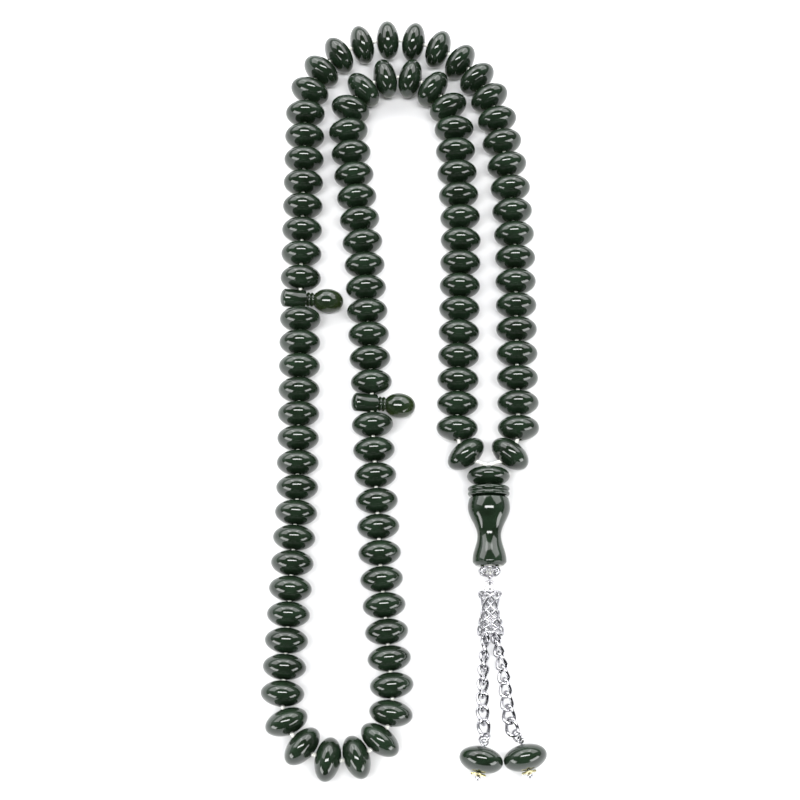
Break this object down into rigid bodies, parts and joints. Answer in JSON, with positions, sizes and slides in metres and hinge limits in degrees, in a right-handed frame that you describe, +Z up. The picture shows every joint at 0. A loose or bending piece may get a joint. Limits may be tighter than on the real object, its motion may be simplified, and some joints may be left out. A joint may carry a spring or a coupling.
{
  "type": "prayer beads",
  "caption": "Strand of flattened oval counting beads on one closed string, with two pin-shaped dividers, a vase-shaped imam and a metal tassel with two chains and end beads.",
  "frame": {"origin": "on the table, under the middle of the outline of the laid-out strand", "axes": "+Z up from the table, +Y along the strand away from the tassel, +X across it towards the side where the imam lies"},
  "size_m": [0.0654, 0.1924, 0.0103],
  "materials": {
    "beads": "polished, very dark green",
    "dividers": "polished, very dark green",
    "imam": "polished, very dark green, a little lighter at the foot",
    "string": "twisted white cord",
    "silver_metal": "bright silver-coloured plating",
    "stars": "pale brassy plating"
  },
  "bodies": {
    "strand": {"string_loop": "string"},
    "beads_01": {"beads_01": "beads"},
    "beads_02": {"beads_02": "beads"},
    "beads_03": {"beads_03": "beads"},
    "beads_04": {"beads_04": "beads"},
    "beads_05": {"beads_05": "beads"},
    "beads_06": {"beads_06": "beads"},
    "beads_07": {"beads_07": "beads"},
    "beads_08": {"beads_08": "beads"},
    "beads_09": {"beads_09": "beads"},
    "beads_10": {"beads_10": "beads"},
    "beads_11": {"beads_11": "beads"},
    "beads_12": {"beads_12": "beads"},
    "beads_13": {"beads_13": "beads"},
    "beads_14": {"beads_14": "beads"},
    "beads_15": {"beads_15": "beads"},
    "beads_16": {"beads_16": "beads"},
    "beads_17": {"beads_17": "beads"},
    "beads_18": {"beads_18": "beads"},
    "beads_19": {"beads_19": "beads"},
    "beads_20": {"beads_20": "beads"},
    "beads_21": {"beads_21": "beads"},
    "beads_22": {"beads_22": "beads"},
    "beads_23": {"beads_23": "beads"},
    "beads_24": {"beads_24": "beads"},
    "beads_25": {"beads_25": "beads"},
    "beads_26": {"beads_26": "beads"},
    "beads_27": {"beads_27": "beads"},
    "beads_28": {"beads_28": "beads"},
    "beads_29": {"beads_29": "beads"},
    "beads_30": {"beads_30": "beads"},
    "beads_31": {"beads_31": "beads"},
    "beads_32": {"beads_32": "beads"},
    "beads_33": {"beads_33": "beads"},
    "beads_34": {"beads_34": "beads"},
    "beads_35": {"beads_35": "beads"},
    "beads_36": {"beads_36": "beads"},
    "divider_1": {"divider_1": "dividers"},
    "divider_2": {"divider_2": "dividers"},
    "imam_top_bead": {"imam_top_bead": "beads"},
    "tail": {"string_tail": "string", "filigree_cap": "silver_metal"},
    "imam_collar": {"imam_collar": "imam"},
    "imam_body": {"imam_body": "imam"},
    "jump_ring": {"jump_ring": "silver_metal"},
    "cone": {"lattice_cone": "silver_metal", "cone_eye_pin": "silver_metal"},
    "chain_left_upper": {"chain_left_upper": "silver_metal"},
    "chain_left_lower": {"chain_left_lower": "silver_metal"},
    "end_ring_left": {"end_ring_left": "silver_metal"},
    "head_pin_left": {"head_pin_left": "silver_metal", "end_star_left": "stars"},
    "end_bead_left": {"end_bead_left": "beads"},
    "chain_right_upper": {"chain_right_upper": "silver_metal"},
    "chain_right_lower": {"chain_right_lower": "silver_metal"},
    "end_ring_right": {"end_ring_right": "silver_metal"},
    "head_pin_right": {"head_pin_right": "silver_metal", "end_star_right": "stars"},
    "end_bead_right": {"end_bead_right": "beads"}
  },
  "joints": [
    {"name": "beads_01_spin", "type": "hinge", "parent": "strand", "child": "beads_01", "pos_m": [0.02539, -0.02011, 0.005], "axis": [0.5952, 0.8036, 0], "continuous": true},
    {"name": "beads_02_spin", "type": "hinge", "parent": "strand", "child": "beads_02", "pos_m": [0.02753, -0.01366, 0.005], "axis": [0.0039, 1, 0], "continuous": true},
    {"name": "beads_03_spin", "type": "hinge", "parent": "strand", "child": "beads_03", "pos_m": [0.02755, 0.03662, 0.005], "axis": [-0.0528, 0.9986, 0], "continuous": true},
    {"name": "beads_04_spin", "type": "hinge", "parent": "strand", "child": "beads_04", "pos_m": [0.02615, 0.05557, 0.005], "axis": [-0.1744, 0.9847, 0], "continuous": true},
    {"name": "beads_05_spin", "type": "hinge", "parent": "strand", "child": "beads_05", "pos_m": [0.02201, 0.07452, 0.005], "axis": [-0.4044, 0.9146, 0], "continuous": true},
    {"name": "beads_06_spin", "type": "hinge", "parent": "strand", "child": "beads_06", "pos_m": [0.01893, 0.08005, 0.005], "axis": [-0.5677, 0.8232, 0], "continuous": true},
    {"name": "beads_07_spin", "type": "hinge", "parent": "strand", "child": "beads_07", "pos_m": [0.01463, 0.08485, 0.005], "axis": [-0.7522, 0.6589, 0], "continuous": true},
    {"name": "beads_08_spin", "type": "hinge", "parent": "strand", "child": "beads_08", "pos_m": [0.00901, 0.08849, 0.005], "axis": [-0.9069, 0.4213, 0], "continuous": true},
    {"name": "beads_09_spin", "type": "hinge", "parent": "strand", "child": "beads_09", "pos_m": [0.00262, 0.09059, 0.005], "axis": [-0.9806, 0.1961, 0], "continuous": true},
    {"name": "beads_10_spin", "type": "hinge", "parent": "strand", "child": "beads_10", "pos_m": [-0.00408, 0.09107, 0.005], "axis": [-0.9986, -0.0529, 0], "continuous": true},
    {"name": "beads_11_spin", "type": "hinge", "parent": "strand", "child": "beads_11", "pos_m": [-0.01077, 0.08981, 0.005], "axis": [-0.9504, -0.311, 0], "continuous": true},
    {"name": "beads_12_spin", "type": "hinge", "parent": "strand", "child": "beads_12", "pos_m": [-0.01672, 0.08681, 0.005], "axis": [-0.8098, -0.5867, 0], "continuous": true},
    {"name": "beads_13_spin", "type": "hinge", "parent": "strand", "child": "beads_13", "pos_m": [-0.02124, 0.08217, 0.005], "axis": [-0.5652, -0.8249, 0], "continuous": true},
    {"name": "beads_14_spin", "type": "hinge", "parent": "strand", "child": "beads_14", "pos_m": [-0.02408, 0.07643, 0.005], "axis": [-0.3106, -0.9505, 0], "continuous": true},
    {"name": "beads_15_spin", "type": "hinge", "parent": "strand", "child": "beads_15", "pos_m": [-0.02511, 0.07004, 0.005], "axis": [-0.0078, -1, 0], "continuous": true},
    {"name": "beads_16_spin", "type": "hinge", "parent": "strand", "child": "beads_16", "pos_m": [-0.02538, 0.01417, 0.005], "axis": [0.0021, -1, 0], "continuous": true},
    {"name": "beads_17_spin", "type": "hinge", "parent": "strand", "child": "beads_17", "pos_m": [-0.02544, -0.03442, 0.005], "axis": [-0.0536, -0.9986, 0], "continuous": true},
    {"name": "beads_18_spin", "type": "hinge", "parent": "strand", "child": "beads_18", "pos_m": [-0.02669, -0.08303, 0.005], "axis": [0.3531, -0.9356, 0], "continuous": true},
    {"name": "beads_19_spin", "type": "hinge", "parent": "strand", "child": "beads_19", "pos_m": [-0.02301, -0.08846, 0.005], "axis": [0.7433, -0.669, 0], "continuous": true},
    {"name": "beads_20_spin", "type": "hinge", "parent": "strand", "child": "beads_20", "pos_m": [-0.01717, -0.09136, 0.005], "axis": [0.9823, -0.1875, 0], "continuous": true},
    {"name": "beads_21_spin", "type": "hinge", "parent": "strand", "child": "beads_21", "pos_m": [-0.01071, -0.09086, 0.005], "axis": [0.942, 0.3356, 0], "continuous": true},
    {"name": "beads_22_spin", "type": "hinge", "parent": "strand", "child": "beads_22", "pos_m": [-0.00545, -0.08703, 0.005], "axis": [0.6039, 0.7971, 0], "continuous": true},
    {"name": "beads_23_spin", "type": "hinge", "parent": "strand", "child": "beads_23", "pos_m": [-0.00297, -0.0811, 0.005], "axis": [0.1525, 0.9883, 0], "continuous": true},
    {"name": "beads_24_spin", "type": "hinge", "parent": "strand", "child": "beads_24", "pos_m": [-0.00279, -0.07482, 0.005], "axis": [-0.0972, 0.9953, 0], "continuous": true},
    {"name": "beads_25_spin", "type": "hinge", "parent": "strand", "child": "beads_25", "pos_m": [-0.00567, -0.0441, 0.005], "axis": [-0.0586, 0.9983, 0], "continuous": true},
    {"name": "beads_26_spin", "type": "hinge", "parent": "strand", "child": "beads_26", "pos_m": [-0.00786, -0.00212, 0.005], "axis": [-0.06, 0.9982, 0], "continuous": true},
    {"name": "beads_27_spin", "type": "hinge", "parent": "strand", "child": "beads_27", "pos_m": [-0.01026, 0.03454, 0.005], "axis": [-0.1243, 0.9922, 0], "continuous": true},
    {"name": "beads_28_spin", "type": "hinge", "parent": "strand", "child": "beads_28", "pos_m": [-0.0136, 0.07128, 0.005], "axis": [0.2772, 0.9608, 0], "continuous": true},
    {"name": "beads_29_spin", "type": "hinge", "parent": "strand", "child": "beads_29", "pos_m": [-0.01034, 0.07678, 0.005], "axis": [0.7086, 0.7056, 0], "continuous": true},
    {"name": "beads_30_spin", "type": "hinge", "parent": "strand", "child": "beads_30", "pos_m": [-0.00471, 0.07997, 0.005], "axis": [0.9682, 0.2502, 0], "continuous": true},
    {"name": "beads_31_spin", "type": "hinge", "parent": "strand", "child": "beads_31", "pos_m": [0.00173, 0.08002, 0.005], "axis": [0.9716, -0.2368, 0], "continuous": true},
    {"name": "beads_32_spin", "type": "hinge", "parent": "strand", "child": "beads_32", "pos_m": [0.00752, 0.07702, 0.005], "axis": [0.7605, -0.6493, 0], "continuous": true},
    {"name": "beads_33_spin", "type": "hinge", "parent": "strand", "child": "beads_33", "pos_m": [0.01143, 0.07177, 0.005], "axis": [0.3976, -0.9176, 0], "continuous": true},
    {"name": "beads_34_spin", "type": "hinge", "parent": "strand", "child": "beads_34", "pos_m": [0.01288, 0.06561, 0.005], "axis": [0.052, -0.9986, 0], "continuous": true},
    {"name": "beads_35_spin", "type": "hinge", "parent": "strand", "child": "beads_35", "pos_m": [0.01423, 0.03503, 0.005], "axis": [-0.0289, -0.9996, 0], "continuous": true},
    {"name": "beads_36_spin", "type": "hinge", "parent": "strand", "child": "beads_36", "pos_m": [0.01486, -0.02012, 0.005], "axis": [0.5952, -0.8036, 0], "continuous": true},
    {"name": "divider_1_swing", "type": "hinge", "parent": "strand", "child": "divider_1", "pos_m": [-0.02543, 0.01946, 0.005], "axis": [0.0216, -0.9998, 0], "range_deg": [0, 208]},
    {"name": "divider_2_swing", "type": "hinge", "parent": "strand", "child": "divider_2", "pos_m": [-0.00768, -0.00742, 0.005], "axis": [0, -1, 0], "range_deg": [0, 208]},
    {"name": "imam_top_bead_spin", "type": "hinge", "parent": "strand", "child": "imam_top_bead", "pos_m": [0.02012, -0.02558, 0.0051], "axis": [0, -1, 0], "continuous": true},
    {"name": "tassel_swing", "type": "hinge", "parent": "strand", "child": "tail", "pos_m": [0.02012, -0.02812, 0.00542], "axis": [0, 0, 1], "range_deg": [-3, 10]},
    {"name": "imam_collar_spin", "type": "hinge", "parent": "tail", "child": "imam_collar", "pos_m": [0.02012, -0.02812, 0.00542], "axis": [0, -0.9968, -0.08], "continuous": true},
    {"name": "imam_body_spin", "type": "hinge", "parent": "tail", "child": "imam_body", "pos_m": [0.02012, -0.04009, 0.00446], "axis": [0, -0.9968, -0.08], "continuous": true},
    {"name": "jump_ring_swing", "type": "hinge", "parent": "tail", "child": "jump_ring", "pos_m": [0.02012, -0.05054, 0.00363], "axis": [0, 0, 1], "range_deg": [-1, 8]},
    {"name": "cone_swing", "type": "hinge", "parent": "jump_ring", "child": "cone", "pos_m": [0.02012, -0.05304, 0.00325], "axis": [0, 0, 1], "range_deg": [-1, 10]},
    {"name": "chain_left_hook", "type": "hinge", "parent": "cone", "child": "chain_left_upper", "pos_m": [0.01907, -0.06202, 0.00325], "axis": [0, 0, 1], "range_deg": [-3, 0]},
    {"name": "chain_left_bend", "type": "hinge", "parent": "chain_left_upper", "child": "chain_left_lower", "pos_m": [0.01822, -0.0736, 0.00189], "axis": [0, 0, 1], "range_deg": [-3, 0]},
    {"name": "end_ring_left_swing", "type": "hinge", "parent": "chain_left_lower", "child": "end_ring_left", "pos_m": [0.01824, -0.08544, 0.00309], "axis": [0, 0, 1], "range_deg": [-4, 0]},
    {"name": "head_pin_left_swing", "type": "hinge", "parent": "end_ring_left", "child": "head_pin_left", "pos_m": [0.01824, -0.08739, 0.00458], "axis": [0, 0, 1], "range_deg": [-10, 0]},
    {"name": "end_bead_left_spin", "type": "hinge", "parent": "head_pin_left", "child": "end_bead_left", "pos_m": [0.01738, -0.09142, 0.00502], "axis": [-0.2068, -0.9728, 0.1045], "continuous": true},
    {"name": "chain_right_hook", "type": "hinge", "parent": "cone", "child": "chain_right_upper", "pos_m": [0.02117, -0.06202, 0.00325], "axis": [0, 0, 1], "range_deg": [0, 8]},
    {"name": "chain_right_bend", "type": "hinge", "parent": "chain_right_upper", "child": "chain_right_lower", "pos_m": [0.02316, -0.07345, 0.0019], "axis": [0, 0, 1], "range_deg": [0, 6]},
    {"name": "end_ring_right_swing", "type": "hinge", "parent": "chain_right_lower", "child": "end_ring_right", "pos_m": [0.0251, -0.08506, 0.00358], "axis": [0, 0, 1], "range_deg": [0, 4]},
    {"name": "head_pin_right_swing", "type": "hinge", "parent": "end_ring_right", "child": "head_pin_right", "pos_m": [0.02643, -0.08693, 0.00457], "axis": [0, 0, 1], "range_deg": [0, 10]},
    {"name": "end_bead_right_spin", "type": "hinge", "parent": "head_pin_right", "child": "end_bead_right", "pos_m": [0.02736, -0.09096, 0.005], "axis": [0.2237, -0.969, 0.1045], "continuous": true}
  ]
}
